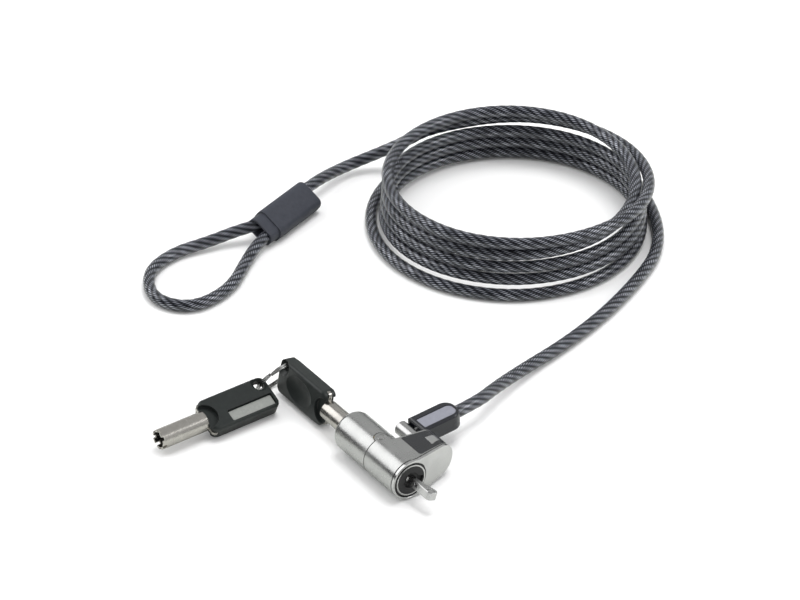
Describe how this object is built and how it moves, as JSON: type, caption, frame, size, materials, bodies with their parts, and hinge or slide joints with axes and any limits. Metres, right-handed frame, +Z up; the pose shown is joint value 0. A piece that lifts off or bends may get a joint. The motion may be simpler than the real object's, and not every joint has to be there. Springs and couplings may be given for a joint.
{
  "type": "laptop cable lock",
  "caption": "Laptop cable lock: tubular key lock head with security-slot hook, swivel and boot, coiled steel cable with sleeved eye, and two keys on a split ring.",
  "frame": {"origin": "centre of the lock's nose face, on the axis of the lock's barrel", "axes": "-Y points out of the nose towards the laptop, +Y towards the inserted key, +X from the barrel to the cable swivel, +Z up from the surface the lock lies on"},
  "size_m": [0.2365, 0.1924, 0.0236],
  "materials": {
    "satin_zinc": "satin silver plating on zinc die casting",
    "bright_steel": "bright plated hardened steel",
    "dark_plastic": "gloss black",
    "nose_rubber": "matte",
    "brass": "machined",
    "spring_steel": "plain",
    "nickel": "nickel plated",
    "bow_plastic": "semi-matte moulded",
    "tag_plastic": "printed number left out",
    "cable_jacket": "clear dark vinyl over steel strands",
    "sleeve_plastic": "semi-matte moulded",
    "ferrule_metal": "pressed"
  },
  "bodies": {
    "cable": {"swivel_barrel": "bright_steel", "cable_boot": "dark_plastic", "cable_lock_lead": "cable_jacket", "cable_coil": "cable_jacket", "cable_eye_lead": "cable_jacket", "cable_sleeve": "sleeve_plastic", "sleeve_ferrule": "ferrule_metal", "cable_eye": "cable_jacket"},
    "lock_head": {"front_plate": "satin_zinc", "lock_housing": "satin_zinc", "arm_inlay": "dark_plastic", "arm_badge": "satin_zinc", "rear_shell": "satin_zinc", "nose_pad": "nose_rubber", "nose_ring": "satin_zinc", "cross_pin": "bright_steel", "core_barrel": "brass", "driver_pins": "brass", "pin_springs": "spring_steel", "spring_plate": "spring_steel", "shell_pin": "spring_steel"},
    "plug": {"spindle": "brass", "security_hook": "bright_steel", "retaining_clip": "spring_steel", "key_pins": "brass"},
    "key": {"key_shaft": "nickel", "key_bow": "bow_plastic", "key_tag": "tag_plastic"},
    "ring": {"split_ring": "bright_steel"},
    "spare_key": {"spare_key_shaft": "nickel", "spare_key_bow": "bow_plastic", "spare_key_tag": "tag_plastic"}
  },
  "joints": [
    {"name": "head_swivel", "type": "hinge", "parent": "cable", "child": "lock_head", "pos_m": [0.014, 0, 0], "axis": [0, 1, 0], "range_deg": [0, 110]},
    {"name": "plug_turn", "type": "hinge", "parent": "lock_head", "child": "plug", "pos_m": [0, 0, 0], "axis": [0, 1, 0], "range_deg": [0, 90]},
    {"name": "key_pull", "type": "slide", "parent": "plug", "child": "key", "axis": [0, 1, 0], "range_m": [0, 0.012]},
    {"name": "ring_turn", "type": "hinge", "parent": "key", "child": "ring", "pos_m": [-0.00401, 0.07462, -0.00039], "axis": [-0.1349, 0.8336, 0.5357], "continuous": true},
    {"name": "spare_slide", "type": "hinge", "parent": "key", "child": "spare_key", "pos_m": [-0.00401, 0.07462, -0.00039], "axis": [-0.1349, 0.8336, 0.5357], "range_deg": [0, 20]}
  ]
}
